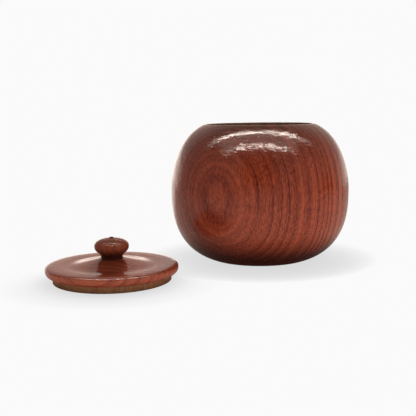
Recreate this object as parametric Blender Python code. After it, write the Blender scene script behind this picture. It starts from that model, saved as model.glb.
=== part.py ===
"""Go stone bowl of turned hardwood, with its lid lying on the table beside it.

Units are metres and +Z is up. The origin is the centre of the bowl's flat base. The lid lies spigot down
on the table, towards -X and -Y of the bowl, with its knob up. Every piece is turned on a lathe, so each
one is a profile of (radius, height) points spun round its own axis.

Pieces: bowl, lid (disc and spigot in one), knob (glued in the lid) and knob_dowel (pins the knob).
"""
from math import acos, cos, exp, log, pi, radians, sin, tan

import bmesh
import bpy
from mathutils import Vector

MM = 0.001

# Bowl. Heights are above the table.
BOWL_RADIUS = 75.0 * MM
BOWL_HEIGHT = 113.6 * MM
BELLY_HEIGHT = 57.7 * MM          # where the bowl is widest
FOOT_RADIUS = 41.4 * MM           # flat circle that the bowl stands on
MOUTH_RADIUS = 45.2 * MM
RIM_WIDTH = 1.6 * MM              # flat ring round the mouth
RIM_CHAMFER = 0.4 * MM            # inner corner of the rim
THROAT_DEPTH = 8.0 * MM           # straight wall below the mouth, which the spigot fits
BOWL_WALL = 8.0 * MM
BOWL_FLOOR = 11.0 * MM
FLOOR_INSET = 9.0 * MM            # from the foot's edge in to the flat of the floor
LOWER_POWERS = (3.17, 2.47)       # fullness of the side below the belly: across, and up
UPPER_POWERS = (3.98, 1.88)       # and above it

# Lid. The disc's rounded edge is two quarter ovals that meet at its widest circle.
SPIGOT_CLEARANCE = 0.6 * MM       # between the spigot and the throat
SPIGOT_HEIGHT = 5.2 * MM
SPIGOT_CHAMFER = 0.5 * MM
LID_OVERHANG = 4.8 * MM           # how far the disc reaches past the mouth
EDGE_UNDERSIDE = 4.1 * MM         # the rounded edge's size inwards, below its widest circle
EDGE_DROP = 4.0 * MM
EDGE_SHOULDER = 9.0 * MM          # and above it
EDGE_RISE = 3.2 * MM
UNDERSIDE_POWER = 2.2             # fullness of the two ovals
SHOULDER_POWER = 4.0
DISH_DEPTH = 0.5 * MM             # shallow ring inside the edge
DISH_WIDTH = 14.0 * MM
CONE_WIDTH = 21.0 * MM            # rise round the knob's foot
CONE_SLOPE = radians(13.2)
CONE_EASE = 2.6 * MM              # radius over which the cone begins

# Knob
KNOB_RADIUS = 13.0 * MM
KNOB_CROWN = 5.9 * MM             # from its widest circle up to its top
KNOB_UNDERCUT = 8.3 * MM          # from its widest circle down to its neck
KNOB_NECK_RADIUS = 8.2 * MM
KNOB_FOOT_RADIUS = 8.9 * MM
KNOB_FOOT_HEIGHT = 1.0 * MM       # flare between the neck and the lid
CROWN_POWERS = (2.1, 2.1)
UNDERCUT_POWER = 1.35             # keeps the head full before it falls in to the neck
TENON_RADIUS = 5.0 * MM
TENON_LENGTH = 5.0 * MM
DOWEL_RADIUS = 1.55 * MM
DOWEL_PROUD = 0.6 * MM            # domed end above the knob
DOWEL_COVER = 4.0 * MM            # wood left in the lid below the dowel

# Layout and fits
GLUE_GAP = 0.3 * MM               # between glued pieces
LID_GAP = 17.6 * MM               # clear table between the bowl's widest circle and the lid
LID_BEARING = radians(214.9)      # direction of the lid from the bowl, anticlockwise from +X

# Sizes that follow from those above
SPIGOT_RADIUS = MOUTH_RADIUS - SPIGOT_CLEARANCE
LID_RADIUS = MOUTH_RADIUS + LID_OVERHANG
CREST_RADIUS = LID_RADIUS - EDGE_SHOULDER
CREST_HEIGHT = SPIGOT_HEIGHT + EDGE_DROP + EDGE_RISE
CONE_RADIUS = KNOB_FOOT_RADIUS + CONE_WIDTH
LID_DISTANCE = BOWL_RADIUS + LID_GAP + LID_RADIUS

SEGMENTS_WIDE = 64
SEGMENTS_KNOB = 40
SEGMENTS_DOWEL = 16


def swell(widest, end, span, powers, steps):
    """Points (radius, distance from the widest circle) of an oval side, from the widest circle out."""
    across, along = powers
    reach = span / (1.0 - (end / widest) ** across) ** (1.0 / along)
    last_angle = acos((end / widest) ** (across / 2.0))
    points = []
    for step in range(steps + 1):
        angle = last_angle * step / steps
        points.append((widest * cos(angle) ** (2.0 / across), reach * sin(angle) ** (2.0 / along)))
    return points


def edge_quarter(inset, reach, power, steps):
    """Points (distance in, distance up or down) of a quarter of the lid's edge, from its widest circle."""
    points = []
    for step in range(steps + 1):
        angle = pi / 2.0 * step / steps
        points.append((inset * (1.0 - cos(angle) ** (2.0 / power)), reach * sin(angle) ** (2.0 / power)))
    return points


def lid_top(radius):
    """Height of the lid's upper side: level, with a cone round the knob and a rise out to the edge."""
    level = CREST_HEIGHT - DISH_DEPTH
    cone = tan(CONE_SLOPE) * CONE_EASE * log(1.0 + exp((CONE_RADIUS - radius) / CONE_EASE))
    out = min(max((radius - (CREST_RADIUS - DISH_WIDTH)) / DISH_WIDTH, 0.0), 1.0)
    return level + cone + DISH_DEPTH * (1.0 - cos(pi * out)) / 2.0


def bowl_profile():
    """From the centre of the base, up the outside, over the rim and down inside to the floor."""
    rim_radius = MOUTH_RADIUS + RIM_WIDTH
    throat_foot = BOWL_HEIGHT - THROAT_DEPTH
    inner_radius = BOWL_RADIUS - BOWL_WALL
    floor_radius = FOOT_RADIUS - FLOOR_INSET
    outer_low = swell(BOWL_RADIUS, FOOT_RADIUS, BELLY_HEIGHT, LOWER_POWERS, 9)
    outer_high = swell(BOWL_RADIUS, rim_radius, BOWL_HEIGHT - BELLY_HEIGHT, UPPER_POWERS, 10)
    inner_high = swell(inner_radius, MOUTH_RADIUS, throat_foot - BELLY_HEIGHT, UPPER_POWERS, 7)
    inner_low = swell(inner_radius, floor_radius, BELLY_HEIGHT - BOWL_FLOOR, LOWER_POWERS, 8)
    points = [(0.0, 0.0)]
    points += [(radius, BELLY_HEIGHT - drop) for radius, drop in reversed(outer_low)]
    points += [(radius, BELLY_HEIGHT + rise) for radius, rise in outer_high[1:]]
    points += [(MOUTH_RADIUS + RIM_CHAMFER, BOWL_HEIGHT), (MOUTH_RADIUS, BOWL_HEIGHT - RIM_CHAMFER)]
    points += [(radius, BELLY_HEIGHT + rise) for radius, rise in reversed(inner_high)]
    points += [(radius, BELLY_HEIGHT - drop) for radius, drop in inner_low[1:]]
    points.append((0.0, BOWL_FLOOR))
    return points


def lid_profile():
    """From the centre of the spigot's underside, round the edge and in to the knob's socket."""
    seat = lid_top(KNOB_FOOT_RADIUS)
    socket_radius = TENON_RADIUS + GLUE_GAP
    socket_floor = seat - TENON_LENGTH - GLUE_GAP
    pin_radius = DOWEL_RADIUS + GLUE_GAP
    points = [
        (0.0, 0.0),
        (SPIGOT_RADIUS - SPIGOT_CHAMFER, 0.0),
        (SPIGOT_RADIUS, SPIGOT_CHAMFER),
        (SPIGOT_RADIUS, SPIGOT_HEIGHT),
    ]
    widest = SPIGOT_HEIGHT + EDGE_DROP
    under = edge_quarter(EDGE_UNDERSIDE, EDGE_DROP, UNDERSIDE_POWER, 5)
    over = edge_quarter(EDGE_SHOULDER, EDGE_RISE, SHOULDER_POWER, 7)
    points += [(LID_RADIUS - inset, widest - drop) for inset, drop in reversed(under)]
    points += [(LID_RADIUS - inset, widest + rise) for inset, rise in over[1:]]
    top_steps = 14
    for step in range(1, top_steps + 1):
        radius = CREST_RADIUS + (KNOB_FOOT_RADIUS - CREST_RADIUS) * step / top_steps
        points.append((radius, lid_top(radius)))
    points += [
        (socket_radius, seat),
        (socket_radius, socket_floor),
        (pin_radius, socket_floor),
        (pin_radius, DOWEL_COVER),
        (0.0, DOWEL_COVER),
    ]
    return points


def knob_heights():
    """Heights of the knob's foot, neck and widest circle, and of its top."""
    foot = lid_top(KNOB_FOOT_RADIUS) + GLUE_GAP
    neck = foot + KNOB_FOOT_HEIGHT
    widest = neck + KNOB_UNDERCUT
    return foot, neck, widest, widest + KNOB_CROWN


def knob_profile():
    """A closed loop: out along the tenon and foot, up the neck and head, and down the dowel's bore."""
    foot, neck, widest, _top = knob_heights()
    bore_radius = DOWEL_RADIUS + GLUE_GAP
    tenon_end = foot - GLUE_GAP - TENON_LENGTH
    points = [(bore_radius, tenon_end), (TENON_RADIUS, tenon_end), (TENON_RADIUS, foot)]
    flare = KNOB_FOOT_RADIUS - KNOB_NECK_RADIUS
    flare_steps = 3
    for step in range(flare_steps + 1):
        angle = pi / 2.0 * step / flare_steps
        points.append((KNOB_FOOT_RADIUS - flare * sin(angle), neck - KNOB_FOOT_HEIGHT * cos(angle)))
    undercut_steps = 8
    for step in range(1, undercut_steps):
        fall = 1.0 - step / undercut_steps
        share = (1.0 + cos(pi * fall ** UNDERCUT_POWER)) / 2.0
        radius = KNOB_NECK_RADIUS + (KNOB_RADIUS - KNOB_NECK_RADIUS) * share
        points.append((radius, widest - KNOB_UNDERCUT * fall))
    across, along = CROWN_POWERS
    crown_span = KNOB_CROWN * (1.0 - (bore_radius / KNOB_RADIUS) ** across) ** (1.0 / along)
    crown = swell(KNOB_RADIUS, bore_radius, crown_span, CROWN_POWERS, 8)
    points += [(radius, widest + rise) for radius, rise in crown]
    return points


def dowel_profile():
    """A straight pin from inside the lid to just above the knob, with a domed end."""
    top = knob_heights()[3]
    points = [(0.0, DOWEL_COVER + GLUE_GAP), (DOWEL_RADIUS, DOWEL_COVER + GLUE_GAP)]
    dome_steps = 3
    for step in range(dome_steps):
        angle = pi / 2.0 * step / dome_steps
        points.append((DOWEL_RADIUS * cos(angle), top + DOWEL_PROUD * sin(angle)))
    points.append((0.0, top + DOWEL_PROUD))
    return points


def wood(name, colour, roughness):
    """A lacquered or bare wood for the viewport."""
    material = bpy.data.materials.new(name)
    material.use_nodes = True
    shader = material.node_tree.nodes["Principled BSDF"]
    shader.inputs["Base Color"].default_value = (*colour, 1.0)
    shader.inputs["Roughness"].default_value = roughness
    shader.inputs["Metallic"].default_value = 0.0
    material.diffuse_color = (*colour, 1.0)
    return material


def turned(name, profile, segments, material, closed=False):
    """A new object whose profile is spun round its Z axis; a closed profile makes a ring."""
    mesh = bpy.data.meshes.new(name)
    shape = bmesh.new()
    verts = [shape.verts.new((radius, 0.0, height)) for radius, height in profile]
    edges = [shape.edges.new(pair) for pair in zip(verts, verts[1:])]
    if closed:
        edges.append(shape.edges.new((verts[-1], verts[0])))
    bmesh.ops.spin(
        shape, geom=verts + edges, cent=Vector((0.0, 0.0, 0.0)), axis=Vector((0.0, 0.0, 1.0)),
        angle=2.0 * pi, steps=segments, use_merge=True,
    )
    bmesh.ops.remove_doubles(shape, verts=shape.verts[:], dist=0.001 * MM)
    bmesh.ops.recalc_face_normals(shape, faces=shape.faces[:])
    shape.to_mesh(mesh)
    shape.free()
    mesh.materials.append(material)
    mesh.shade_smooth()
    mesh.set_sharp_from_angle(angle=radians(30.0))
    piece = bpy.data.objects.new(name, mesh)
    bpy.context.collection.objects.link(piece)
    return piece


def clear_scene():
    """Take every object out of the scene."""
    for item in list(bpy.data.objects):
        bpy.data.objects.remove(item, do_unlink=True)


def build():
    """Make the bowl at the origin, and the lid's pieces round the axis that the lid lifts along."""
    clear_scene()
    turned("bowl", bowl_profile(), SEGMENTS_WIDE, wood("bowl_wood", (0.23, 0.055, 0.032), 0.14))

    lid_axis = bpy.data.objects.new("lid_axis", None)
    lid_axis.location = (LID_DISTANCE * cos(LID_BEARING), LID_DISTANCE * sin(LID_BEARING), 0.0)
    bpy.context.collection.objects.link(lid_axis)
    pieces = [
        turned("lid", lid_profile(), SEGMENTS_WIDE, wood("lid_wood", (0.24, 0.06, 0.035), 0.14)),
        turned("knob", knob_profile(), SEGMENTS_KNOB, wood("knob_wood", (0.19, 0.05, 0.028), 0.2), True),
        turned("knob_dowel", dowel_profile(), SEGMENTS_DOWEL, wood("dowel_wood", (0.07, 0.012, 0.01), 0.3)),
    ]
    for piece in pieces:
        piece.parent = lid_axis


build()
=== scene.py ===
"""Looks of the go stone bowl: finely turned pieces in lacquered and bare wood, on a pale table in soft light.

Lengths are metres and angles are radians. The bowl's axis is the frame's Z axis and the lid lies beside it on
an axis of its own. Each piece is one profile of radius and height spun round its axis, in bands of one finish.
The wood is a solid block pattern: growth rings round a pith, cut by the turned surface.
"""

import logging
from dataclasses import dataclass, field
from enum import Enum
from math import acos, cos, exp, hypot, log, pi, radians, sin, tan
from typing import Any

import bpy
from mathutils import Matrix, Vector, noise

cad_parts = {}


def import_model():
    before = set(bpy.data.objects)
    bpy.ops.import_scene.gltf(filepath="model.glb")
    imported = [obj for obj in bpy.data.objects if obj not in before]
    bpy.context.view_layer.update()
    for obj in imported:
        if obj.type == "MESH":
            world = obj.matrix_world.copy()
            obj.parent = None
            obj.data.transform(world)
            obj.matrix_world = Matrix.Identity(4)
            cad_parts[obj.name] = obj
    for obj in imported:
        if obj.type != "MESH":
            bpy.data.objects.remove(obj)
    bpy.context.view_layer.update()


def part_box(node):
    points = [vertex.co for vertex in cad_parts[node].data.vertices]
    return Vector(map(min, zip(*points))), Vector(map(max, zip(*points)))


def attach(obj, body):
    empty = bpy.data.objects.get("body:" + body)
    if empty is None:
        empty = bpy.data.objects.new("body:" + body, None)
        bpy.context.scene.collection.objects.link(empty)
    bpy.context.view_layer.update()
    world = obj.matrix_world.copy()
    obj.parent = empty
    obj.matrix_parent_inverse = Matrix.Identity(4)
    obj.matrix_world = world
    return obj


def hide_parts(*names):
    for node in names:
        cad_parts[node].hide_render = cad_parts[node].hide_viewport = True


LOG = logging.getLogger("go_bowl")

MM = 0.001

Point = tuple[float, float]
Triple = tuple[float, float, float]
Band = tuple[float, ...]
Socket = bpy.types.NodeSocket


class Skin(Enum):
    """The finish of a band of a turned surface, by the place of its material on the mesh."""

    LACQUERED = 0
    BARE = 1


# ---- Shapes ----


def quarter_turn(steps: int) -> list[float]:
    """Angles from 0 to a right angle."""
    return [pi / 2.0 * step / steps for step in range(steps + 1)]


@dataclass(frozen=True)
class Oval:
    """How full a turned side is: the two powers of its superellipse."""

    across: float
    along: float

    def quarter(self, widest: float, end: float, span: float, steps: int) -> list[Point]:
        """Follow the side from its widest circle to its end.

        Args:
            widest: radius of the widest circle.
            end: radius where the side ends.
            span: height between the two.
            steps: how many pieces to cut the side into.

        Returns:
            Points (radius, distance from the widest circle).
        """
        reach = span / (1.0 - (end / widest) ** self.across) ** (1.0 / self.along)
        last = acos((end / widest) ** (self.across / 2.0))
        angles = [last * step / steps for step in range(steps + 1)]
        return [
            (widest * cos(angle) ** (2.0 / self.across), reach * sin(angle) ** (2.0 / self.along))
            for angle in angles
        ]


@dataclass
class Profile:
    """The outline of a turned piece, from one end to the other, with the skin of each band."""

    points: list[Point] = field(default_factory=list)
    skins: list[Skin] = field(default_factory=list)
    closed: bool = False

    def follow(self, points: list[Point], skin: Skin) -> None:
        """Add points to the outline.

        Args:
            points: the next points; one that repeats the last point is left out.
            skin: the finish of the bands that lead to them.
        """
        for point in points:
            if self.points and hypot(point[0] - self.points[-1][0], point[1] - self.points[-1][1]) < 1e-7:
                continue
            if self.points:
                self.skins.append(skin)
            self.points.append(point)

    def turn(self, corner: Point, after: Point, radius: float, skin: Skin, steps: int = 5) -> None:
        """Add a rounded corner, as a round of the given radius between the last point and the next.

        Args:
            corner: where the two straight bands would meet.
            after: the point that the outline goes on to.
            radius: the round's radius.
            skin: the finish of the bands up to the end of the round.
            steps: how many pieces to cut the round into.
        """
        middle, before = Vector(corner), Vector(self.points[-1])
        back, on = (before - middle).normalized(), (Vector(after) - middle).normalized()
        half = back.angle(on) / 2.0
        cut = radius / tan(half)
        start, end = middle + back * cut, middle + on * cut
        centre = middle + (back + on).normalized() * (radius / sin(half))
        first, last = start - centre, end - centre
        sweep = first.angle_signed(last)
        arc = []
        for step in range(steps + 1):
            turned = Matrix.Rotation(-sweep * step / steps, 2) @ first
            arc.append(tuple(centre + turned))
        self.follow(arc, skin)


@dataclass(frozen=True)
class Lathe:
    """Spins profiles into meshes, with the faint ripple that a hand-held tool leaves."""

    segments: int = 224
    ripple: float = 0.022 * MM
    ripple_length: float = 13.0 * MM
    sharp_angle: float = radians(38.0)

    def spin(self, name: str, profile: Profile, centre: Vector) -> bpy.types.Object:
        """Make an object whose profile is spun round the vertical axis through centre.

        Args:
            name: the piece's name.
            profile: its outline; a closed one makes a ring.
            centre: where the axis meets the table.

        Returns:
            The new object, at centre, with its faces numbered by skin.
        """
        verts: list[Vector] = []
        rings: list[list[int]] = []
        for radius, height in profile.points:
            count = 1 if radius < 1e-9 else self.segments
            rings.append(list(range(len(verts), len(verts) + count)))
            for index in range(count):
                angle = 2.0 * pi * index / self.segments
                spoke = Vector((cos(angle), sin(angle), 0.0))
                place = spoke * radius + Vector((0.0, 0.0, height))
                verts.append(place + spoke * self._ripple(place, radius))
        faces, skins = self._faces(rings, profile)
        mesh = bpy.data.meshes.new(name)
        mesh.from_pydata(verts, [], faces)
        mesh.polygons.foreach_set("material_index", skins)
        mesh.shade_smooth()
        mesh.set_sharp_from_angle(angle=self.sharp_angle)
        mesh.validate()
        piece = bpy.data.objects.new(name, mesh)
        piece.location = centre
        bpy.context.collection.objects.link(piece)
        return piece

    def _ripple(self, place: Vector, radius: float) -> float:
        """How far the surface at place stands out from the true round."""
        if radius < self.ripple_length:
            return 0.0
        return self.ripple * noise.noise(place / self.ripple_length)

    def _faces(self, rings: list[list[int]], profile: Profile) -> tuple[list[tuple[int, ...]], list[int]]:
        """Join neighbouring rings of vertices.

        Args:
            rings: the vertex numbers of each profile point's circle, or its one vertex on the axis.
            profile: the outline that they come from.

        Returns:
            The faces, and the skin's number of each.
        """
        pairs = list(zip(rings, rings[1:], profile.skins))
        if profile.closed:
            pairs.append((rings[-1], rings[0], profile.skins[-1]))
        faces: list[tuple[int, ...]] = []
        skins: list[int] = []
        for low, high, skin in pairs:
            for index in range(self.segments):
                after = (index + 1) % self.segments
                if len(low) == 1:
                    faces.append((low[0], high[after], high[index]))
                elif len(high) == 1:
                    faces.append((low[index], low[after], high[0]))
                else:
                    faces.append((low[index], low[after], high[after], high[index]))
                skins.append(skin.value)
        return faces, skins


# ---- Shader nodes ----


@dataclass(frozen=True)
class Graph:
    """Adds nodes to one node tree and joins them."""

    tree: bpy.types.NodeTree

    def node(self, kind: str, inputs: dict[Any, Any] | None = None, **settings: Any) -> bpy.types.Node:
        """Add a node.

        Args:
            kind: the node's type name.
            inputs: values or sockets for its inputs, by name or number.
            settings: its own properties.

        Returns:
            The new node.
        """
        made = self.tree.nodes.new(kind)
        for name, value in settings.items():
            setattr(made, name, value)
        for name, value in (inputs or {}).items():
            if isinstance(value, Socket):
                self.link(value, made.inputs[name])
            else:
                made.inputs[name].default_value = value
        return made

    def link(self, source: Socket, target: Socket) -> None:
        """Join an output to an input."""
        self.tree.links.new(source, target)

    def math(self, operation: str, first: Any, second: Any = 0.0, clamp: bool = False) -> Socket:
        """Do arithmetic on one or two numbers.

        Args:
            operation: the Math node's operation.
            first: the first number or socket.
            second: the second.
            clamp: whether to keep the result between 0 and 1.

        Returns:
            The socket that holds the result.
        """
        made = self.node("ShaderNodeMath", {0: first, 1: second}, operation=operation, use_clamp=clamp)
        return made.outputs[0]

    def plus(self, first: Any, second: Any, clamp: bool = False) -> Socket:
        """Add two numbers."""
        return self.math("ADD", first, second, clamp)

    def times(self, first: Any, second: Any) -> Socket:
        """Multiply two numbers."""
        return self.math("MULTIPLY", first, second)

    def centred(self, value: Any) -> Socket:
        """Shift a number in 0..1 so that its middle is 0."""
        return self.math("SUBTRACT", value, 0.5)

    def either(self, share: Any, first: Any, second: Any) -> Socket:
        """Mix two numbers: the first where share is 0 and the second where it is 1."""
        return self.plus(self.times(share, second), self.times(self.math("SUBTRACT", 1.0, share), first))

    def vector(self, operation: str, first: Any, second: Any = (0.0, 0.0, 0.0)) -> Socket:
        """Do arithmetic on vectors and return the socket that holds the result."""
        made = self.node("ShaderNodeVectorMath", {0: first, 1: second}, operation=operation)
        return made.outputs["Value" if operation in ("LENGTH", "DOT_PRODUCT") else "Vector"]

    def off_axis(self, place: Any) -> Socket:
        """Distance of a place from its own Z axis."""
        return self.vector("LENGTH", self.vector("MULTIPLY", place, (1.0, 1.0, 0.0)))

    def scatter(self, place: Any, cycles: Triple, detail: float = 2.0, rough: float = 0.5) -> Socket:
        """Noise from 0 to 1 over a place, with its cycles for each metre along X, Y and Z."""
        scaled = self.vector("MULTIPLY", place, cycles)
        made = self.node("ShaderNodeTexNoise", {
            "Vector": scaled, "Scale": 1.0, "Detail": detail, "Roughness": rough,
        })
        return made.outputs["Fac"]

    def scatter_line(self, place: Any, detail: float = 0.0) -> Socket:
        """Noise from 0 to 1 along one number."""
        made = self.node(
            "ShaderNodeTexNoise", {"W": place, "Scale": 1.0, "Detail": detail}, noise_dimensions="1D"
        )
        return made.outputs["Fac"]

    def between(self, value: Any, low: float, high: float, start: float = 0.0, end: float = 1.0) -> Any:
        """Map low..high smoothly onto start..end and return the socket."""
        made = self.node(
            "ShaderNodeMapRange",
            {"Value": value, "From Min": low, "From Max": high, "To Min": start, "To Max": end},
            interpolation_type="SMOOTHSTEP",
        )
        return made.outputs["Result"]

    def blend(self, share: Any, first: Any, second: Any, mode: str = "MIX") -> Socket:
        """Mix two colours.

        Args:
            share: how much of the second colour, from 0 to 1.
            first: the first colour or socket.
            second: the second.
            mode: the Mix node's blend type.

        Returns:
            The socket that holds the colour.
        """
        made = self.node("ShaderNodeMix", {0: share}, data_type="RGBA", blend_type=mode)
        for number, colour in ((6, first), (7, second)):
            if isinstance(colour, Socket):
                self.link(colour, made.inputs[number])
            else:
                made.inputs[number].default_value = (*colour, 1.0)
        return made.outputs[2]


def new_group(
    name: str, vectors: list[str], numbers: list[str], outputs: list[str]
) -> tuple[Graph, Any, Any]:
    """Start a shader node group.

    Args:
        name: the group's name.
        vectors: names of its vector inputs.
        numbers: names of its number inputs, which follow them.
        outputs: names of its number outputs.

    Returns:
        Its graph, its input sockets and its output node's sockets, by name.
    """
    tree = bpy.data.node_groups.new(name, "ShaderNodeTree")
    for label in vectors:
        tree.interface.new_socket(label, in_out="INPUT", socket_type="NodeSocketVector")
    for direction, labels in (("INPUT", numbers), ("OUTPUT", outputs)):
        for label in labels:
            tree.interface.new_socket(label, in_out=direction, socket_type="NodeSocketFloat")
    graph = Graph(tree)
    return graph, graph.node("NodeGroupInput").outputs, graph.node("NodeGroupOutput").inputs


class Grain:
    """The node groups that every wood here shares: the block's growth rings, and marks of the maker's work.

    Noise is given as cycles for each metre along X, Y and Z, and the block's grain runs along its Z.
    """

    BAND_STOPS = ((0.0, 0.05), (0.13, 0.5), (0.36, 1.0), (0.6, 0.6), (0.84, 0.5), (1.0, 0.05))
    DRIFT: Triple = (17.0, 17.0, 5.0)
    FADING: Triple = (38.0, 38.0, 16.0)
    PATCH: Triple = (42.0, 42.0, 15.0)
    STRANDS: Triple = (1100.0, 1100.0, 230.0)
    PORES: Triple = (1500.0, 1500.0, 170.0)
    FIBRE: Triple = (1300.0, 1300.0, 260.0)
    WAVE: Triple = (170.0, 170.0, 170.0)
    BRUSH: Triple = (130.0, 130.0, 620.0)
    SMEAR: Triple = (38.0, 38.0, 38.0)
    WAVE_SHARE, BRUSH_SHARE, FIBRE_SHARE, RING_SHARE, PORE_SHARE = 0.8, 0.6, 0.18, 0.06, 0.08
    CIRCLES_OUT, CIRCLES_UP = 1500.0, 1300.0
    UNEVEN_YEARS, BROAD_YEARS, FINE_YEARS = 0.37, 0.23, 5.3
    UNEVENNESS = 0.9
    WEAKEST_RING = 0.4
    FADED: Band = (0.32, 0.68, 0.35, 1.05)
    SWING_OUTWARD: Band = (-0.008, 0.03, 0.5, 2.1)
    FINE_OUTWARD: Band = (-0.01, 0.035, 0.8, 1.7)
    TONE_OUTWARD = 3.4
    PORE_LIMITS: Band = (0.58, 0.72)
    SMEAR_LIMITS: Band = (0.4, 0.75)

    def __init__(self) -> None:
        """Build the three groups once."""
        self.rings = self._growth_rings()
        self.peel = self._lacquer_skin()
        self.tool = self._tool_marks()

    def _growth_rings(self) -> bpy.types.NodeTree:
        """Rings round the block's own Z axis, with strands and pores along it."""
        graph, given, result = new_group(
            "growth_rings", ["Block"], ["Ring Width", "Waver", "Shift", "Middle"],
            ["Rings", "Tone", "Strands", "Pores"],
        )
        block = given["Block"]
        drift = graph.node("ShaderNodeTexNoise", {
            "Vector": graph.vector("MULTIPLY", block, self.DRIFT), "Scale": 1.0, "Detail": 1.5,
        }).outputs["Color"]
        sway = graph.vector("SUBTRACT", drift, (0.5, 0.5, 0.5))
        sway = graph.node("ShaderNodeVectorMath", {0: sway, "Scale": given["Waver"]}, operation="SCALE")
        depth = graph.off_axis(graph.vector("ADD", block, sway.outputs["Vector"]))
        count = graph.plus(graph.math("DIVIDE", depth, given["Ring Width"]), given["Shift"])
        uneven = graph.scatter_line(graph.times(count, self.UNEVEN_YEARS))
        year = graph.plus(count, graph.times(graph.centred(uneven), self.UNEVENNESS))
        band = graph.node("ShaderNodeValToRGB", {"Fac": graph.math("FRACT", year)})
        self._set_stops(band.color_ramp, self.BAND_STOPS)
        strength = graph.node(
            "ShaderNodeTexWhiteNoise", {"W": graph.math("FLOOR", year)}, noise_dimensions="1D"
        ).outputs["Value"]
        strength = graph.plus(graph.times(strength, 1.0 - self.WEAKEST_RING), self.WEAKEST_RING)
        swing = graph.times(graph.centred(band.outputs["Color"]), strength)
        fading = graph.scatter(block, self.FADING, 1.0)
        outward = graph.math("SUBTRACT", depth, given["Middle"])
        swing = graph.times(swing, graph.between(fading, *self.FADED))
        swing = graph.times(swing, graph.between(outward, *self.SWING_OUTWARD))
        fine = graph.scatter_line(graph.times(count, self.FINE_YEARS), 2.0)
        fine = graph.times(graph.centred(fine), graph.between(outward, *self.FINE_OUTWARD))
        patch = graph.scatter(block, self.PATCH, 1.5)
        broad = graph.scatter_line(graph.times(count, self.BROAD_YEARS))
        trend = graph.times(outward, self.TONE_OUTWARD)
        outputs = {
            "Rings": graph.plus(graph.plus(swing, fine), 0.5, clamp=True),
            "Tone": graph.plus(graph.times(graph.plus(patch, broad), 0.5), trend),
            "Strands": graph.scatter(block, self.STRANDS, 3.0, 0.7),
            "Pores": graph.between(graph.scatter(block, self.PORES, 1.0), *self.PORE_LIMITS),
        }
        for label, socket in outputs.items():
            graph.link(socket, result[label])
        return graph.tree

    def _lacquer_skin(self) -> bpy.types.NodeTree:
        """The faint ripple of brushed lacquer, which sinks a little into the pores."""
        graph, given, result = new_group(
            "lacquer_skin", ["Piece", "Block"], ["Rings", "Pores"], ["Height", "Dulling"]
        )
        piece = given["Piece"]
        height = graph.times(graph.scatter(piece, self.WAVE, 1.0), self.WAVE_SHARE)
        for layer, share in (
            (graph.scatter(piece, self.BRUSH, 1.5), self.BRUSH_SHARE),
            (graph.scatter(given["Block"], self.FIBRE, 1.0), self.FIBRE_SHARE),
            (given["Rings"], self.RING_SHARE),
            (given["Pores"], -self.PORE_SHARE),
        ):
            height = graph.plus(height, graph.times(layer, share))
        graph.link(height, result["Height"])
        smear = graph.scatter(piece, self.SMEAR)
        graph.link(graph.between(smear, *self.SMEAR_LIMITS), result["Dulling"])
        return graph.tree

    def _tool_marks(self) -> bpy.types.NodeTree:
        """Fine circles that the turning tool cuts round the piece's axis, and torn fibres across them."""
        graph, given, result = new_group("tool_marks", ["Piece"], ["Strands"], ["Height", "Circles"])
        piece = given["Piece"]
        height = graph.node("ShaderNodeSeparateXYZ", {0: piece}).outputs["Z"]
        travel = graph.times(graph.off_axis(piece), self.CIRCLES_OUT)
        circles = graph.scatter_line(graph.plus(travel, graph.times(height, self.CIRCLES_UP)), 1.0)
        graph.link(graph.plus(graph.times(circles, 0.5), given["Strands"]), result["Height"])
        graph.link(circles, result["Circles"])
        return graph.tree

    @staticmethod
    def _set_stops(ramp: bpy.types.ColorRamp, stops: tuple[Point, ...]) -> None:
        """Give a ramp grey stops, each a place and a brightness."""
        ramp.interpolation = "EASE"
        while len(ramp.elements) > 1:
            ramp.elements.remove(ramp.elements[-1])
        for number, (place, level) in enumerate(stops):
            element = ramp.elements[0] if number == 0 else ramp.elements.new(place)
            element.position = place
            element.color = (level, level, level, 1.0)


@dataclass(frozen=True)
class Block:
    """How a piece was cut from the log: where the pith runs and how far apart the rings are."""

    pith: Vector
    turn: Vector
    ring_width: float
    waver: float = 1.6 * MM
    shift: float = 0.0
    middle: float = 0.0
    # Painted shade towards the low end: the heights where it begins and where it is full, and how dark it
    # gets.
    stain_from: float = 0.0
    stain_to: float = 0.0
    stain_share: float = 0.0
    streak_depth: float = 0.0
    streak_place: Vector | None = None


@dataclass(frozen=True)
class Wood:
    """A wood's colours in one finish, and how strongly each part of its figure shows."""

    early: Triple
    late: Triple
    deep: Triple
    roughness: float
    gloss: float = 0.5
    level: float = 0.0
    ring_share: float = 1.0
    strand_share: float = 0.3
    tone_share: float = 0.35
    pore_share: float = 0.45

    def paint(self, graph: Graph, figure: Any, streak: Any) -> Socket:
        """Turn the figure into a colour.

        Args:
            graph: the material's graph.
            figure: the growth rings' sockets.
            streak: how dark a single line in the wood, or the painted shade towards a piece's low end, is
                here, from 0 to 1.

        Returns:
            The colour's socket.
        """
        level = graph.plus(graph.times(figure["Rings"], self.ring_share), self.level)
        strands = graph.times(graph.centred(figure["Strands"]), self.strand_share)
        tone = graph.times(graph.centred(figure["Tone"]), self.tone_share * 2.0)
        level = graph.plus(graph.plus(level, strands), tone, clamp=True)
        colour = graph.blend(level, self.late, self.early)
        dark = graph.times(figure["Pores"], self.pore_share)
        dark = graph.math("MAXIMUM", dark, streak)
        return graph.blend(dark, colour, self.deep)


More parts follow.
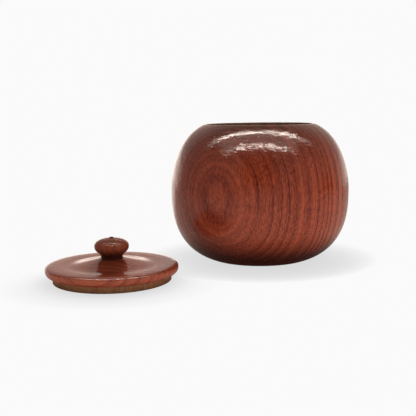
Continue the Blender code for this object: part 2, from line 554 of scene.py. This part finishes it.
@dataclass(frozen=True)
class Finisher:
    """Makes the materials of a piece from its block of wood."""

    grain: Grain
    ior: float = 1.46
    dulling: float = 0.05
    pore_dulling: float = 0.12
    circle_dulling: float = 0.15
    streak_sway: Triple = (60.0, 60.0, 24.0)
    streak_wander: float = 1.5 * MM
    streak_width: float = 0.8 * MM
    streak_ends: Band = (6.0 * MM, 26.0 * MM)

    def _streak(self, graph: Graph, piece: Any, placed: Any, block: Block) -> Any:
        """A short dark line in the wood: a thin layer at one distance from the pith, near one place."""
        if block.streak_place is None:
            return 0.0
        sway = graph.scatter(placed, self.streak_sway)
        depth = graph.plus(graph.off_axis(placed), graph.times(graph.centred(sway), self.streak_wander))
        off = graph.math("ABSOLUTE", graph.math("SUBTRACT", depth, block.streak_depth))
        away = graph.vector("LENGTH", graph.vector("SUBTRACT", piece, tuple(block.streak_place)))
        line = graph.between(off, 0.0, self.streak_width, 0.6, 0.0)
        return graph.times(line, graph.between(away, *self.streak_ends, 1.0, 0.0))

    @staticmethod
    def _stain(graph: Graph, piece: Any, block: Block) -> Any:
        """Painted shade: the wood darkened towards the low end of a piece, where shade falls."""
        if not block.stain_share:
            return 0.0
        height = graph.node("ShaderNodeSeparateXYZ", {0: piece}).outputs["Z"]
        return graph.between(height, block.stain_to, block.stain_from, block.stain_share, 0.0)

    def dress(self, name: str, skin: Skin, wood: Wood, block: Block, relief: float) -> bpy.types.Material:
        """Make a material: wood under clear gloss lacquer, or bare as it left the lathe.

        Args:
            name: the material's name.
            skin: which of the two.
            wood: its colours in that finish.
            block: how the piece was cut.
            relief: depth of the lacquer's ripple or of the tool marks.

        Returns:
            The material.
        """
        material = bpy.data.materials.new(name)
        material.use_nodes = True
        graph = Graph(material.node_tree)
        shader = material.node_tree.nodes["Principled BSDF"].inputs
        shader["Roughness"].default_value = wood.roughness
        shader["IOR"].default_value = self.ior
        shader["Specular IOR Level"].default_value = wood.gloss
        piece = graph.node("ShaderNodeTexCoord").outputs["Object"]
        placed = graph.node(
            "ShaderNodeMapping", {"Vector": piece, "Location": block.pith, "Rotation": block.turn},
            vector_type="TEXTURE",
        ).outputs["Vector"]
        figure = graph.node("ShaderNodeGroup", {
            "Block": placed, "Ring Width": block.ring_width, "Waver": block.waver, "Shift": block.shift,
            "Middle": block.middle or block.pith.xy.length,
        }, node_tree=self.grain.rings).outputs
        streak = self._streak(graph, piece, placed, block)
        # The dark streak joined with the painted shade towards the piece's low end.
        dark = graph.math("MAXIMUM", streak, self._stain(graph, piece, block))
        graph.link(wood.paint(graph, figure, dark), shader["Base Color"])
        if skin is Skin.LACQUERED:
            marks = graph.node("ShaderNodeGroup", {
                "Piece": piece, "Block": placed, "Rings": figure["Rings"], "Pores": figure["Pores"],
            }, node_tree=self.grain.peel).outputs
            dull = ((marks["Dulling"], self.dulling), (figure["Pores"], self.pore_dulling))
        else:
            marks = graph.node(
                "ShaderNodeGroup", {"Piece": piece, "Strands": figure["Strands"]}, node_tree=self.grain.tool
            ).outputs
            dull = ((marks["Circles"], self.circle_dulling),)
        bump = graph.node("ShaderNodeBump", {"Height": marks["Height"], "Strength": 1.0, "Distance": relief})
        graph.link(bump.outputs["Normal"], shader["Normal"])
        rough = wood.roughness
        for layer, share in dull:
            rough = graph.plus(rough, graph.times(layer, share))
        graph.link(rough, shader["Roughness"])
        return material


# ---- Woods and blocks ----

LACQUERED_BODY = Wood(
    early=(0.51, 0.09, 0.036), late=(0.125, 0.0095, 0.0045), deep=(0.035, 0.005, 0.004), roughness=0.1,
    strand_share=2.0,
)
LACQUERED_LID = Wood(
    early=(0.7, 0.15, 0.068), late=(0.28, 0.036, 0.018), deep=(0.04, 0.008, 0.005), roughness=0.12,
    ring_share=0.6, strand_share=0.8, tone_share=0.25, level=0.2,
)
LACQUERED_KNOB = Wood(
    early=(0.56, 0.13, 0.055), late=(0.23, 0.036, 0.017), deep=(0.03, 0.006, 0.003), roughness=0.24,
    ring_share=0.6, strand_share=0.6, level=0.2, gloss=0.18,
)
BARE_INSIDE = Wood(
    early=(0.42, 0.17, 0.06), late=(0.2, 0.065, 0.022), deep=(0.03, 0.01, 0.006), roughness=0.6
)
BARE_SPIGOT = Wood(
    early=(0.74, 0.3, 0.125), late=(0.34, 0.125, 0.052), deep=(0.1, 0.045, 0.02), roughness=0.6,
    ring_share=0.5, strand_share=1.3, level=0.25,
)
DOWEL_END = Wood(
    early=(0.24, 0.035, 0.022), late=(0.1, 0.013, 0.009), deep=(0.03, 0.005, 0.003), roughness=0.35, gloss=0.2
)


def upright_block(
    bearing: float, distance: float, ring_width: float, lean: Point = (0.0, 0.0), level: float = 0.0,
    **rest: Any,
) -> Block:
    """A block with its grain upright.

    Args:
        bearing: direction of the pith from the piece's axis, anticlockwise from +X.
        distance: how far away the pith runs.
        ring_width: from one ring to the next.
        lean: how far the pith drifts along X and Y for each unit of height.
        level: the height at which the pith has that bearing and distance.
        rest: other fields of Block.

    Returns:
        The block.
    """
    place = Vector((cos(bearing), sin(bearing), 0.0)) * distance - Vector((*lean, 0.0)) * level
    return Block(pith=place, turn=Vector((-lean[1], lean[0], 0.0)), ring_width=ring_width, **rest)


def level_block(bearing: float, distance: float, depth: float, ring_width: float, **rest: Any) -> Block:
    """A block with its grain lying level.

    Args:
        bearing: direction of the grain, anticlockwise from +X.
        distance: how far to one side of the piece's axis the pith runs.
        depth: how far below the table it runs.
        ring_width: from one ring to the next.
        rest: other fields of Block.

    Returns:
        The block.
    """
    side = Vector((-sin(bearing), cos(bearing), 0.0))
    along = Matrix.Rotation(bearing, 3, "Z") @ Matrix.Rotation(pi / 2.0, 3, "Y")
    return Block(
        pith=side * distance - Vector((0.0, 0.0, depth)), turn=Vector(along.to_euler()),
        ring_width=ring_width, **rest,
    )


# ---- Pieces ----


@dataclass
class TurnedPiece:
    """A piece of the object that a lathe could make."""

    lathe: Lathe
    finisher: Finisher

    @staticmethod
    def axis_of(node: str) -> Vector:
        """Where the vertical axis through a node meets the table."""
        low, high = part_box(node)
        return Vector(((low[0] + high[0]) / 2.0, (low[1] + high[1]) / 2.0, 0.0))

    @staticmethod
    def radius_of(node: str) -> float:
        """A node's largest radius."""
        low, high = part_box(node)
        return (high[0] - low[0]) / 2.0

    def turn(self, name: str, profile: Profile, node: str, body: str, slot: str, finishes: list[Any]) -> None:
        """Turn a piece, dress it, hang it on its body and hide the node that it stands for.

        Args:
            name: the piece's name.
            profile: its outline.
            node: the CAD node that it replaces.
            body: the CAD body that it moves with.
            slot: not used.
            finishes: its materials, in the order of Skin.
        """
        piece = self.lathe.spin(name, profile, self.axis_of(node))
        for finish in finishes:
            piece.data.materials.append(finish)
        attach(piece, body)
        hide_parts(node)
        LOG.info("%s: %d faces, stands for %s", piece.name, len(piece.data.polygons), node)


@dataclass
class Bowl(TurnedPiece):
    """The bowl: gloss lacquer outside and over the rim, bare wood inside."""

    belly_height: float = 57.7 * MM
    foot_radius: float = 41.4 * MM
    foot_round: float = 1.2 * MM
    mouth_radius: float = 45.2 * MM
    rim_width: float = 1.6 * MM
    rim_round: float = 0.9 * MM
    lip_round: float = 0.45 * MM
    throat_depth: float = 8.0 * MM
    wall: float = 8.0 * MM
    floor: float = 11.0 * MM
    floor_inset: float = 9.0 * MM
    lower: Oval = Oval(3.17, 2.47)
    upper: Oval = Oval(3.98, 1.88)
    ripple: float = 0.24 * MM
    tool_depth: float = 0.05 * MM

    def outline(self) -> Profile:
        """From the centre of the base, up the outside, over the rim and down inside to the floor."""
        height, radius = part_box("bowl")[1][2], self.radius_of("bowl")
        rim = self.mouth_radius + self.rim_width
        side = self.lower.quarter(radius, self.foot_radius, self.belly_height, 70)
        shoulder = self.upper.quarter(radius, rim, height - self.belly_height, 80)
        inner = radius - self.wall
        throat_foot = height - self.throat_depth
        ceiling = self.upper.quarter(inner, self.mouth_radius, throat_foot - self.belly_height, 40)
        well = self.lower.quarter(
            inner, self.foot_radius - self.floor_inset, self.belly_height - self.floor, 50
        )
        outside = [(r, self.belly_height - drop) for r, drop in reversed(side)]
        outside += [(r, self.belly_height + rise) for r, rise in shoulder[1:]]
        inside = [(r, self.belly_height + rise) for r, rise in reversed(ceiling)]
        inside += [(r, self.belly_height - drop) for r, drop in well[1:]]

        made = Profile()
        made.follow([(0.0, 0.0), (self.foot_radius / 2.0, 0.0)], Skin.LACQUERED)
        made.turn(outside[0], outside[2], self.foot_round, Skin.LACQUERED)
        made.follow(outside[2:-2], Skin.LACQUERED)
        made.turn((rim, height), (self.mouth_radius, height), self.rim_round, Skin.LACQUERED)
        made.turn((self.mouth_radius, height), inside[0], self.lip_round, Skin.LACQUERED)
        made.follow(inside, Skin.BARE)
        made.follow([(0.0, self.floor)], Skin.BARE)
        return made

    def build(self) -> None:
        """Turn the bowl and dress it."""
        # The block also paints shade round the foot, darkening the wood below 30 mm.
        block = upright_block(
            bearing=radians(-120.24), distance=287.6 * MM, ring_width=6.75 * MM, lean=(-0.065, 0.07),
            level=58.0 * MM, shift=0.27, middle=245.0 * MM, streak_depth=222.6 * MM,
            streak_place=Vector((-2.0, -74.0, 66.0)) * MM, stain_from=30.0 * MM, stain_share=0.85,
        )
        finishes = [
            self.finisher.dress("bowl_lacquer", Skin.LACQUERED, LACQUERED_BODY, block, self.ripple),
            self.finisher.dress("bowl_bare", Skin.BARE, BARE_INSIDE, block, self.tool_depth),
        ]
        self.turn("bowl_turned", self.outline(), "bowl", "bowl", "bowl_wood", finishes)


@dataclass
class Lid(TurnedPiece):
    """The lid: a lacquered disc with a rounded edge and a low cone round the knob, over a bare spigot."""

    spigot_height: float = 5.2 * MM
    spigot_inset: float = 5.4 * MM
    spigot_round: float = 0.4 * MM
    edge_underside: float = 4.1 * MM
    edge_drop: float = 4.0 * MM
    edge_shoulder: float = 9.0 * MM
    edge_rise: float = 3.2 * MM
    underside: Oval = Oval(2.2, 2.2)
    shoulder: Oval = Oval(4.0, 4.0)
    edge_steps: int = 20
    dish_depth: float = 0.5 * MM
    dish_width: float = 14.0 * MM
    cone_width: float = 21.0 * MM
    cone_slope: float = radians(13.2)
    cone_ease: float = 2.6 * MM
    knob_foot_radius: float = 8.9 * MM
    tenon_radius: float = 5.0 * MM
    tenon_length: float = 5.0 * MM
    fit: float = 0.04 * MM
    top_steps: int = 70
    ripple: float = 0.04 * MM
    tool_depth: float = 0.06 * MM

    @property
    def radius(self) -> float:
        """Radius of the disc."""
        return self.radius_of("lid")

    def top(self, radius: float) -> float:
        """Height of the lid's upper side at a radius."""
        edge = self.radius - self.edge_shoulder
        crest = self.spigot_height + self.edge_drop + self.edge_rise
        cone_radius = self.knob_foot_radius + self.cone_width
        cone = tan(self.cone_slope) * self.cone_ease * log(1.0 + exp((cone_radius - radius) / self.cone_ease))
        out = min(max((radius - (edge - self.dish_width)) / self.dish_width, 0.0), 1.0)
        return crest - self.dish_depth + cone + self.dish_depth * (1.0 - cos(pi * out)) / 2.0

    def outline(self) -> Profile:
        """From the centre of the spigot's underside, round the edge and in to the knob's socket."""
        spigot = self.radius - self.spigot_inset
        edge = self.radius - self.edge_shoulder
        seat = self.top(self.knob_foot_radius)
        socket = self.tenon_radius + self.fit
        made = Profile()
        made.follow([(0.0, 0.0), (spigot / 2.0, 0.0)], Skin.BARE)
        made.turn((spigot, 0.0), (spigot, self.spigot_height), self.spigot_round, Skin.BARE)
        made.follow([(spigot, self.spigot_height)], Skin.BARE)
        widest = self.spigot_height + self.edge_drop
        under = self.underside.quarter(self.edge_underside, 0.0, self.edge_drop, self.edge_steps)
        over = self.shoulder.quarter(self.edge_shoulder, 0.0, self.edge_rise, self.edge_steps)
        under_edge = self.radius - self.edge_underside
        made.follow([(under_edge + out, widest - drop) for out, drop in reversed(under)], Skin.LACQUERED)
        made.follow([(edge + out, widest + rise) for out, rise in over], Skin.LACQUERED)
        inwards = self.knob_foot_radius - edge
        across = [edge + inwards * step / self.top_steps for step in range(1, self.top_steps + 1)]
        made.follow([(radius, self.top(radius)) for radius in across], Skin.LACQUERED)
        bottom = seat - self.tenon_length - self.fit
        made.follow([(socket, seat), (socket, bottom), (0.0, bottom)], Skin.BARE)
        return made

    def build(self) -> None:
        """Turn the lid and dress it."""
        block = level_block(
            bearing=radians(-12.0), distance=120.0 * MM, depth=60.0 * MM, ring_width=5.2 * MM, waver=3.0 * MM
        )
        upright = upright_block(radians(60.0), distance=90.0 * MM, ring_width=4.0 * MM, waver=3.0 * MM)
        finishes = [
            self.finisher.dress("lid_lacquer", Skin.LACQUERED, LACQUERED_LID, block, self.ripple),
            self.finisher.dress("lid_bare", Skin.BARE, BARE_SPIGOT, upright, self.tool_depth),
        ]
        self.turn("lid_turned", self.outline(), "lid", "lid", "lid_wood", finishes)


@dataclass
class Knob(TurnedPiece):
    """The knob: a flattened ball on a narrow neck, with a small flared foot and a tenon."""

    crown: float = 5.9 * MM
    undercut: float = 8.3 * MM
    neck_radius: float = 8.2 * MM
    foot_radius: float = 8.9 * MM
    foot_height: float = 1.0 * MM
    tenon_radius: float = 5.0 * MM
    undercut_power: float = 1.35
    bore_radius: float = 1.6 * MM
    crown_oval: Oval = Oval(2.1, 2.1)
    flare_steps: int = 8
    side_steps: int = 36
    ripple: float = 0.03 * MM

    def outline(self, foot: float) -> Profile:
        """A closed loop: out along the tenon and foot, up the neck and head, and down the dowel's bore.

        Args:
            foot: height of the foot's underside.

        Returns:
            The outline.
        """
        low, _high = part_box("knob")
        widest = self.radius_of("knob")
        neck = foot + self.foot_height
        belly = neck + self.undercut
        flare = self.foot_radius - self.neck_radius
        rise = [
            (self.foot_radius - flare * sin(angle), neck - self.foot_height * cos(angle))
            for angle in quarter_turn(self.flare_steps)
        ]
        swell = []
        for step in range(1, self.side_steps):
            fall = 1.0 - step / self.side_steps
            share = (1.0 + cos(pi * fall ** self.undercut_power)) / 2.0
            radius = self.neck_radius + (widest - self.neck_radius) * share
            swell.append((radius, belly - self.undercut * fall))
        reach = 1.0 - (self.bore_radius / widest) ** self.crown_oval.across
        span = self.crown * reach ** (1.0 / self.crown_oval.along)
        crown = self.crown_oval.quarter(widest, self.bore_radius, span, self.side_steps)
        made = Profile(closed=True)
        tenon = [(self.bore_radius, low[2]), (self.tenon_radius, low[2]), (self.tenon_radius, foot)]
        made.follow(tenon, Skin.BARE)
        made.follow(rise, Skin.BARE)
        made.follow(swell, Skin.LACQUERED)
        made.follow([(radius, belly + up) for radius, up in crown], Skin.LACQUERED)
        return made

    def build(self, foot: float) -> None:
        """Turn the knob and dress it.

        Args:
            foot: height of the lid under it.
        """
        # The block also paints shade on the neck and the underside of the head, from 13 mm above the lid down
        # to 2 mm.
        block = upright_block(
            radians(150.0), distance=26.0 * MM, ring_width=2.6 * MM, lean=(0.03, 0.04), waver=1.0 * MM,
            stain_from=foot + 13.0 * MM, stain_to=foot + 2.0 * MM, stain_share=0.93,
        )
        finish = self.finisher.dress("knob_lacquer", Skin.LACQUERED, LACQUERED_KNOB, block, self.ripple)
        self.turn("knob_turned", self.outline(foot), "knob", "lid", "knob_wood", [finish, finish])


@dataclass
class Dowel(TurnedPiece):
    """The thin pin through the knob, whose domed end stands just proud of it."""

    proud: float = 0.6 * MM
    dome_steps: int = 10
    ripple: float = 0.02 * MM

    def build(self) -> None:
        """Turn the dowel and dress it."""
        low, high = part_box("knob_dowel")
        radius = self.radius_of("knob_dowel")
        made = Profile()
        made.follow([(0.0, low[2]), (radius, low[2])], Skin.LACQUERED)
        dome = [
            (radius * cos(angle), high[2] - self.proud * (1.0 - sin(angle)))
            for angle in quarter_turn(self.dome_steps)
        ]
        made.follow([*dome[:-1], (0.0, high[2])], Skin.LACQUERED)
        block = upright_block(bearing=0.0, distance=3.0 * MM, ring_width=0.8 * MM, waver=0.3 * MM)
        finish = self.finisher.dress("dowel_lacquer", Skin.LACQUERED, DOWEL_END, block, self.ripple)
        self.turn("knob_dowel_end", made, "knob_dowel", "lid", "dowel_wood", [finish])


# ---- Studio ----


@dataclass(frozen=True)
class Strip:
    """A long thin lamp overhead, parallel to the table's front, that shows only as a reflection."""

    name: str
    across: float
    height: float
    length: float
    width: float
    radiance: float

    @property
    def power(self) -> float:
        """The lamp's power for its radiance."""
        return self.radiance * pi * self.length * self.width


@dataclass(frozen=True)
class Sector:
    """A side of the surroundings: its direction, and the cosines off it where it begins and is full."""

    bearing: float
    begins: float
    full: float
    rise: float = 0.0

    def share(self, graph: Graph, way: Any, start: float = 0.0, end: float = 1.0) -> Any:
        """Map how far a unit direction points into the sector onto start..end."""
        facing = graph.vector("DOT_PRODUCT", way, towards(self.bearing, self.rise))
        return graph.between(facing, self.begins, self.full, start, end)


def towards(bearing: float, rise: float = 0.0) -> Triple:
    """A direction, by its bearing from the camera's side towards +X and its rise above level."""
    return (sin(bearing) * cos(rise), -cos(bearing) * cos(rise), sin(rise))


@dataclass
class Studio:
    """A pale table and pale walls, strip lamps overhead, a lamp behind, a soft key light, and the camera.

    The table and the surroundings have one brightness for the camera, one for gloss and one for lighting the
    wood, and gloss shows them a little warm. A band is two limits of a rise, with the values at each.
    """

    white: float = 0.956
    floor_radius: float = 1.05
    floor_segments: int = 96
    shade_reach: float = 0.038
    shade_ease: float = 0.5
    shade_depth: float = 0.43
    shade_normal: Triple = (0.0, 0.55, 0.835)
    shade_samples: int = 16
    under_gloss: float = 1.5
    under_bounce: float = 2.5
    table_near: float = 0.15
    table_gloss: float = 0.5
    table_behind: float = 1.3
    table_side: Sector = Sector(radians(-168.0), 0.8, 0.93)
    table_bounce: float = 1.25
    wall: float = 0.88
    wall_right: float = 0.12
    wall_side: Sector = Sector(radians(155.0), 0.2, 0.34)
    right_side: Sector = Sector(radians(65.0), 0.1, 0.97)
    wall_fall: Band = (0.03, 0.22, 1.35, 0.33)
    front: float = 0.33
    front_fall: Band = (0.6, 0.9, 1.0, 0.35)
    gap_side: Sector = Sector(radians(-4.0), cos(radians(27.0)), cos(radians(22.0)))
    gap_top: Band = (0.8, 0.7)
    gap_foot: Band = (0.05, 0.2)
    horizon: float = 0.75
    horizon_side: Sector = Sector(radians(-168.0), 0.85, 0.97)
    horizon_top: Band = (0.08, 0.18)
    fill: float = 0.055
    back: float = 0.3
    back_side: Sector = Sector(radians(170.0), 0.1, 0.6, radians(15.0))
    key: float = 0.98
    key_spread: float = 5.0
    key_bearing: float = radians(29.0)
    key_rise: float = radians(-6.0)
    lamp_power: float = 14.0
    lamp_size: float = 0.6
    lamp_distance: float = 1.5
    lamp_bearing: float = radians(-176.0)
    lamp_rise: float = radians(27.0)
    strips: tuple[Strip, ...] = (
        Strip("front_core", -0.57, 1.1, 1.15, 0.05, 56.0),
        Strip("front_ends", -0.57, 1.1, 2.0, 0.065, 8.0),
        Strip("back_core", 0.13, 1.1, 1.4, 0.05, 50.0),
        Strip("back_ends", 0.13, 1.1, 2.4, 0.065, 8.0),
        Strip("glow", -0.22, 1.12, 1.8, 0.9, 1.3),
    )
    strip_shift: float = -0.03
    strip_turn: float = radians(-3.0)
    plain: Triple = (1.0, 1.0, 1.0)
    warmth: Triple = (1.0, 0.88, 0.79)
    camera_place: Vector = field(default_factory=lambda: Vector((-44.05, -641.45, 131.63)) * MM)
    camera_pitch: float = radians(7.92)
    camera_roll: float = radians(-0.705)
    camera_lens_mm: float = 65.4
    camera_sensor_mm: float = 36.0

    def lay_table(self) -> None:
        """A pale disc at the table's height, shaded softly wherever something stands close to it."""
        turns = [2.0 * pi * index / self.floor_segments for index in range(self.floor_segments)]
        ring = [(self.floor_radius * cos(turn), self.floor_radius * sin(turn), 0.0) for turn in turns]
        mesh = bpy.data.meshes.new("table")
        mesh.from_pydata(ring, [], [tuple(range(self.floor_segments))])
        table = bpy.data.objects.new("table", mesh)
        bpy.context.collection.objects.link(table)
        material = bpy.data.materials.new("table_white")
        material.use_nodes = True
        nodes = material.node_tree.nodes
        nodes.remove(nodes["Principled BSDF"])
        graph = Graph(material.node_tree)
        normal = graph.node("ShaderNodeCombineXYZ", dict(enumerate(self.shade_normal)))
        open_sky = graph.node(
            "ShaderNodeAmbientOcclusion", {"Distance": self.shade_reach, "Normal": normal.outputs[0]},
            samples=self.shade_samples,
        ).outputs["AO"]
        path = graph.node("ShaderNodeLightPath")
        seen, bounced = path.outputs["Is Camera Ray"], path.outputs["Is Diffuse Ray"]
        unseen = graph.either(bounced, self._table_in_gloss(graph), self.table_bounce)
        under = graph.plus(self.under_gloss, graph.times(bounced, self.under_bounce))
        unseen = graph.times(unseen, graph.math("POWER", open_sky, under))
        glow = graph.node("ShaderNodeEmission", {
            "Color": self._tint(graph, seen, bounced),
            "Strength": graph.either(seen, unseen, self._table_shade(graph, open_sky)),
        })
        graph.link(glow.outputs["Emission"], nodes["Material Output"].inputs["Surface"])
        mesh.materials.append(material)

    def _table_shade(self, graph: Graph, open_sky: Any) -> Any:
        """The table's brightness for the camera, darker where less of the sky is open."""
        closed = graph.math("SUBTRACT", 1.0, open_sky, clamp=True)
        shade = graph.math("DIVIDE", closed, graph.plus(closed, self.shade_ease))
        return graph.times(self.white, graph.math("SUBTRACT", 1.0, graph.times(shade, self.shade_depth)))

    def _table_in_gloss(self, graph: Graph) -> Any:
        """The table's brightness in gloss: it falls off outwards, and is brighter behind the lid."""
        place = graph.node("ShaderNodeTexCoord").outputs["Object"]
        away = graph.vector("LENGTH", place)
        around = graph.between(away, self.table_near, self.floor_radius, self.table_gloss, self.front)
        behind = self.table_side.share(graph, graph.vector("NORMALIZE", place))
        return graph.either(behind, around, self.table_behind)

    def _tint(self, graph: Graph, seen: Any, bounced: Any) -> Any:
        """Plain white for the camera and for what lights the wood, and warm for gloss."""
        return graph.blend(graph.math("MAXIMUM", seen, bounced), self.warmth, self.plain)

    def hang_lamps(self) -> None:
        """Strip lamps overhead that only gloss shows, and a soft round one behind that gloss doesn't show."""
        behind = self._lamp("back_lamp", "DISK", self.lamp_size, self.lamp_power)
        place = Vector(towards(self.lamp_bearing, self.lamp_rise)) * self.lamp_distance
        behind.location = place
        behind.rotation_euler = place.to_track_quat("Z", "Y").to_euler()
        behind.visible_glossy = False
        for strip in self.strips:
            holder = self._lamp(strip.name, "RECTANGLE", strip.length, strip.power)
            holder.data.size_y = strip.width
            holder.data.color = self.warmth
            holder.location = (self.strip_shift, strip.across, strip.height)
            holder.rotation_euler = (0.0, 0.0, self.strip_turn)
            holder.visible_diffuse = False

    @staticmethod
    def _lamp(name: str, shape: str, size: float, power: float) -> bpy.types.Object:
        """Add an area lamp that the camera doesn't see."""
        lamp = bpy.data.lights.new(name, "AREA")
        lamp.shape, lamp.size, lamp.energy = shape, size, power
        holder = bpy.data.objects.new(name, lamp)
        holder.visible_camera = False
        bpy.context.collection.objects.link(holder)
        return holder

    def _reflected(self, graph: Graph, ray: Any) -> Any:
        """What gloss shows: pale walls, a dim front with a dark gap, and a bright low horizon behind."""
        rise = graph.node("ShaderNodeSeparateXYZ", {0: ray}).outputs["Z"]
        level = graph.vector("NORMALIZE", graph.vector("MULTIPLY", ray, (1.0, 1.0, 0.0)))
        gap = graph.times(self.gap_side.share(graph, level), graph.between(rise, *self.gap_top))
        gap = graph.times(gap, graph.between(rise, *self.gap_foot))
        dim = graph.times(graph.math("SUBTRACT", 1.0, gap), self.front)
        dim = graph.times(dim, graph.between(rise, *self.front_fall))
        side = self.right_side.share(graph, level, self.wall - self.front, self.wall_right - self.front)
        side = graph.times(side, graph.between(rise, *self.wall_fall))
        walls = graph.times(self.wall_side.share(graph, level), side)
        glow = graph.between(rise, *self.horizon_top, self.horizon, 0.0)
        glow = graph.times(self.horizon_side.share(graph, level), glow)
        return graph.plus(graph.plus(walls, dim), glow)

    def _shading(self, graph: Graph, ray: Any) -> Any:
        """What lights the wood: an even fill, a broad soft key from the front right, and some from behind."""
        facing = graph.vector("DOT_PRODUCT", ray, towards(self.key_bearing, self.key_rise))
        lobe = graph.math("POWER", graph.math("MAXIMUM", facing, 0.0), self.key_spread)
        light = graph.plus(graph.times(lobe, self.key), self.fill)
        return graph.plus(light, self.back_side.share(graph, ray, 0.0, self.back))

    def pitch_tent(self) -> None:
        """The surroundings, with what the camera sees, what gloss shows and what lights the wood apart."""
        world = bpy.data.worlds.new("tent")
        world.use_nodes = True
        bpy.context.scene.world = world
        graph = Graph(world.node_tree)
        ray = graph.node("ShaderNodeTexCoord").outputs["Generated"]
        path = graph.node("ShaderNodeLightPath")
        bounced, seen = path.outputs["Is Diffuse Ray"], path.outputs["Is Camera Ray"]
        unseen = graph.either(bounced, self._reflected(graph, ray), self._shading(graph, ray))
        background = world.node_tree.nodes["Background"]
        graph.link(self._tint(graph, seen, bounced), background.inputs["Color"])
        graph.link(graph.either(seen, unseen, self.white), background.inputs["Strength"])

    def place_camera(self) -> None:
        """The camera, a little above the rim and turned slightly about its own line of sight."""
        camera = bpy.data.cameras.new("camera")
        camera.lens = self.camera_lens_mm
        camera.sensor_width = self.camera_sensor_mm
        camera.clip_start, camera.clip_end = 0.01, 50.0
        holder = bpy.data.objects.new("camera", camera)
        tilt = Matrix.Rotation(pi / 2.0 - self.camera_pitch, 4, "X")
        turned = tilt @ Matrix.Rotation(self.camera_roll, 4, "Z")
        holder.matrix_world = Matrix.Translation(self.camera_place) @ turned
        bpy.context.collection.objects.link(holder)
        bpy.context.scene.camera = holder

    def set_up(self) -> None:
        """Build the whole studio."""
        self.lay_table()
        self.hang_lamps()
        self.pitch_tent()
        self.place_camera()
        view = bpy.context.scene.view_settings
        view.view_transform = "Standard"
        view.look = "None"
        LOG.info("studio: a table, a tent, a lamp behind and %d strips", len(self.strips))


def main() -> None:
    """Load the frame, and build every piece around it."""
    logging.basicConfig(level=logging.INFO, format="%(name)s %(message)s")
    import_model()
    finisher = Finisher(Grain())
    wide, narrow = Lathe(), Lathe(segments=112)
    Bowl(wide, finisher).build()
    lid = Lid(wide, finisher)
    lid.build()
    Knob(narrow, finisher).build(lid.top(lid.knob_foot_radius) + lid.fit)
    Dowel(Lathe(segments=48), finisher).build()
    Studio().set_up()


if __name__ == "__main__":
    main()
